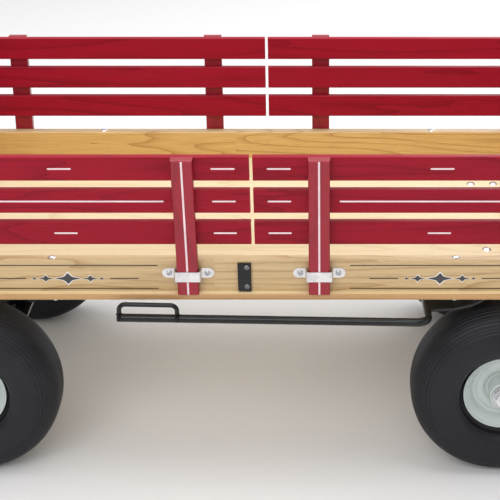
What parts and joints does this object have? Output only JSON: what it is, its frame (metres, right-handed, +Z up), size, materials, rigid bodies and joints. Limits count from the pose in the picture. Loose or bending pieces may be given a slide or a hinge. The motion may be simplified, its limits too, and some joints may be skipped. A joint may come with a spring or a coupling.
{
  "type": "wagon with pull handle",
  "caption": "Wooden pull-along wagon: slatted removable red racks round a plank bed, four pneumatic wheels, linked front steering, hinged pull handle and lever parking brake.",
  "frame": {"origin": "centre of the wagon's footprint, on the floor", "axes": "+X towards the rear along the bed, +Y towards the right side, +Z up; the pull handle is at -X"},
  "size_m": [1.1817, 0.5699, 1.0496],
  "materials": {
    "natural_wood": "clear semi-gloss varnish over ash",
    "floor_wood": "clear satin varnish",
    "red_wood": "crimson stain under semi-gloss varnish, grain visible",
    "galvanised": "zinc plated",
    "bright_steel": "zinc plated",
    "black_steel": "gloss black powder coat",
    "rim_paint": "pale grey-green gloss",
    "tyre": "matt",
    "tube_rubber": "matt",
    "bearing_steel": "ground steel",
    "grip_rubber": "matt moulded"
  },
  "bodies": {
    "chassis": {"side_board_left": "natural_wood", "side_board_right": "natural_wood", "end_board_front": "natural_wood", "end_board_rear": "natural_wood", "floor_planks": "floor_wood", "floor_cleats": "natural_wood", "corner_screws": "bright_steel", "board_bolts": "bright_steel", "frame_bolts": "bright_steel", "stake_brackets": "galvanised", "bracket_screws": "bright_steel", "catch_plate": "black_steel", "catch_plate_screws": "bright_steel", "front_axle_frame": "black_steel", "rear_axle_frame": "black_steel", "rear_axle": "bright_steel", "rear_axle_nuts": "bright_steel", "pivot_bolts": "bright_steel", "brake_hangers": "black_steel"},
    "rack_left_front": {"rack_left_front_rails": "red_wood", "rack_left_front_stakes": "red_wood"},
    "rack_left_rear": {"rack_left_rear_rails": "red_wood", "rack_left_rear_stakes": "red_wood"},
    "rack_right_front": {"rack_right_front_rails": "red_wood", "rack_right_front_stakes": "red_wood"},
    "rack_right_rear": {"rack_right_rear_rails": "red_wood", "rack_right_rear_stakes": "red_wood"},
    "rack_front": {"rack_front_rails": "red_wood", "rack_front_stakes": "red_wood"},
    "rack_rear": {"rack_rear_rails": "red_wood", "rack_rear_stakes": "red_wood"},
    "wheel_front_left": {"tyre_front_left": "tyre", "inner_tube_front_left": "tube_rubber", "rim_front_left": "rim_paint", "bearings_front_left": "bearing_steel"},
    "wheel_front_right": {"tyre_front_right": "tyre", "inner_tube_front_right": "tube_rubber", "rim_front_right": "rim_paint", "bearings_front_right": "bearing_steel"},
    "wheel_rear_left": {"tyre_rear_left": "tyre", "inner_tube_rear_left": "tube_rubber", "rim_rear_left": "rim_paint", "bearings_rear_left": "bearing_steel"},
    "wheel_rear_right": {"tyre_rear_right": "tyre", "inner_tube_rear_right": "tube_rubber", "rim_rear_right": "rim_paint", "bearings_rear_right": "bearing_steel"},
    "knuckle_left": {"steering_knuckle_left": "black_steel", "front_axle_nut_left": "bright_steel"},
    "knuckle_right": {"steering_knuckle_right": "black_steel", "front_axle_nut_right": "bright_steel"},
    "tie_bar": {"tie_bar": "black_steel"},
    "tongue": {"tongue": "black_steel", "handle_pin": "bright_steel"},
    "pull_handle": {"handle_tube": "black_steel", "handle_loop": "black_steel", "handle_grip": "grip_rubber"},
    "brake": {"brake_lever": "black_steel", "brake_shoes": "black_steel"}
  },
  "joints": [
    {"name": "tongue_swivel", "type": "hinge", "parent": "chassis", "child": "tongue", "pos_m": [-0.36539, 0.00181, 0.154], "axis": [0, 0, 1], "range_deg": [-30, 30]},
    {"name": "knuckle_left_turn", "type": "hinge", "parent": "chassis", "child": "knuckle_left", "pos_m": [-0.36539, -0.14819, 0.13335], "axis": [0, 0, 1], "range_deg": [-30, 30]},
    {"name": "knuckle_right_turn", "type": "hinge", "parent": "chassis", "child": "knuckle_right", "pos_m": [-0.36539, 0.15181, 0.13335], "axis": [0, 0, 1], "range_deg": [-30, 30]},
    {"name": "tie_bar_pivot", "type": "hinge", "parent": "tongue", "child": "tie_bar", "pos_m": [-0.32839, 0.00181, 0.148], "axis": [0, 0, 1], "range_deg": [-30, 30]},
    {"name": "handle_fold", "type": "hinge", "parent": "tongue", "child": "pull_handle", "pos_m": [-0.56499, 0.00181, 0.16], "axis": [0, -1, 0], "range_deg": [0, 104]},
    {"name": "brake_pull", "type": "hinge", "parent": "chassis", "child": "brake", "pos_m": [0.29751, 0.00181, 0.2625], "axis": [0, 1, 0], "range_deg": [0, 14]},
    {"name": "wheel_front_left_spin", "type": "hinge", "parent": "knuckle_left", "child": "wheel_front_left", "pos_m": [-0.36539, -0.22719, 0.13335], "axis": [0, 1, 0], "continuous": true},
    {"name": "wheel_front_right_spin", "type": "hinge", "parent": "knuckle_right", "child": "wheel_front_right", "pos_m": [-0.36539, 0.23081, 0.13335], "axis": [0, 1, 0], "continuous": true},
    {"name": "wheel_rear_left_spin", "type": "hinge", "parent": "chassis", "child": "wheel_rear_left", "pos_m": [0.41151, -0.22719, 0.13335], "axis": [0, 1, 0], "continuous": true},
    {"name": "wheel_rear_right_spin", "type": "hinge", "parent": "chassis", "child": "wheel_rear_right", "pos_m": [0.41151, 0.23081, 0.13335], "axis": [0, 1, 0], "continuous": true},
    {"name": "rack_left_front_lift", "type": "slide", "parent": "chassis", "child": "rack_left_front", "axis": [0, 0, 1], "range_m": [0, 0.12]},
    {"name": "rack_left_rear_lift", "type": "slide", "parent": "chassis", "child": "rack_left_rear", "axis": [0, 0, 1], "range_m": [0, 0.12]},
    {"name": "rack_right_front_lift", "type": "slide", "parent": "chassis", "child": "rack_right_front", "axis": [0, 0, 1], "range_m": [0, 0.12]},
    {"name": "rack_right_rear_lift", "type": "slide", "parent": "chassis", "child": "rack_right_rear", "axis": [0, 0, 1], "range_m": [0, 0.12]},
    {"name": "rack_front_lift", "type": "slide", "parent": "chassis", "child": "rack_front", "axis": [0, 0, 1], "range_m": [0, 0.12]},
    {"name": "rack_rear_lift", "type": "slide", "parent": "chassis", "child": "rack_rear", "axis": [0, 0, 1], "range_m": [0, 0.12]}
  ],
  "couplings": [
    {"joint": "knuckle_left_turn", "follows": "tongue_swivel", "ratio": 1},
    {"joint": "knuckle_right_turn", "follows": "tongue_swivel", "ratio": 1},
    {"joint": "tie_bar_pivot", "follows": "tongue_swivel", "ratio": -1}
  ]
}
